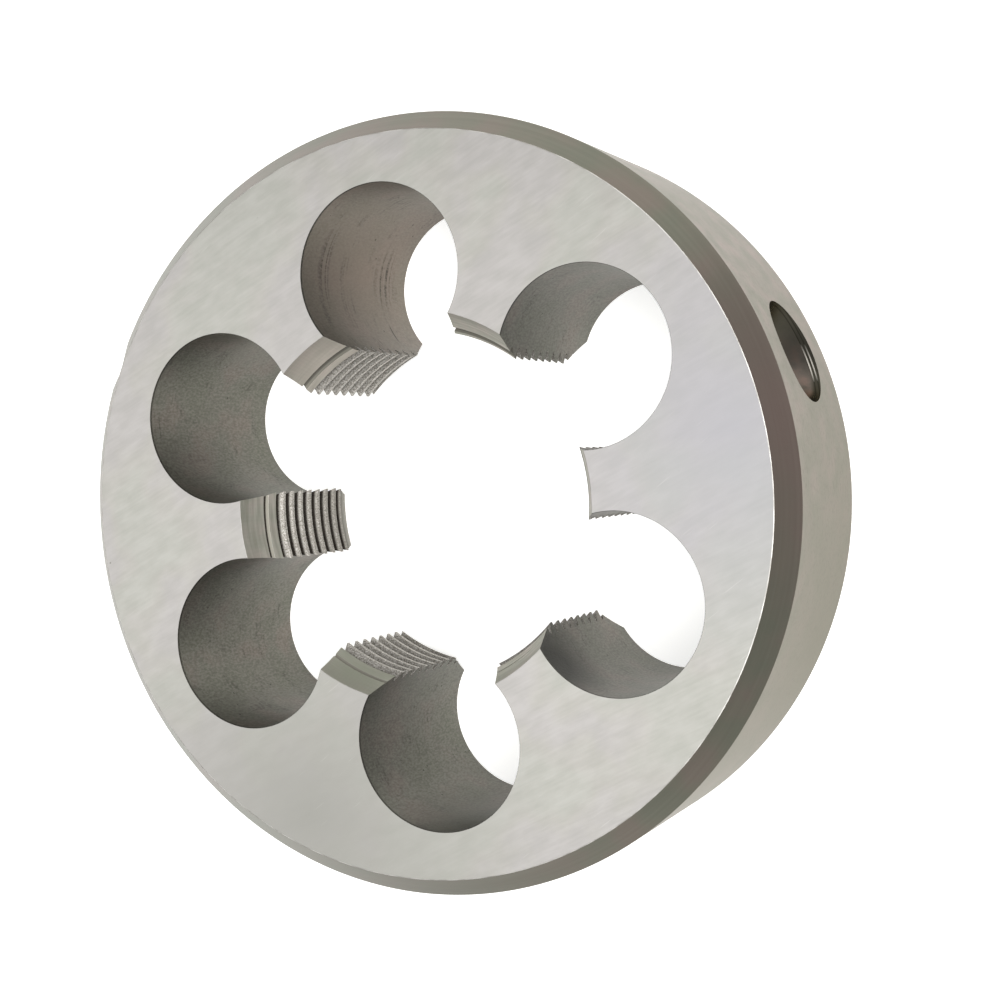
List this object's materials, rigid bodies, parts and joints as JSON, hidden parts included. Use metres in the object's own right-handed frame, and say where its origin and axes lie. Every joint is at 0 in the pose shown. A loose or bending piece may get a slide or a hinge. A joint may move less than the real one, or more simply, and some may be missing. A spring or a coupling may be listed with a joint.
{
  "type": "round threading die",
  "caption": "Closed round die of hardened steel: a flat disc whose threaded bore, parted by clearance holes, cuts an outside thread on a rod.",
  "frame": {"origin": "centre of the back face, the flat face that the die rests on", "axes": "+Z along the die's axis to the front face, where the work enters; a land between two clearance holes lies on +X; the rim notch is at 150 degrees and the screw seats at 15 and 285 degrees, counted from +X about +Z"},
  "size_m": [0.055, 0.055, 0.016],
  "materials": {
    "tool_steel": "ground faces, turned chamfer, drilled holes, bare steel"
  },
  "bodies": {
    "root": {"die_body": "tool_steel"}
  },
  "joints": []
}
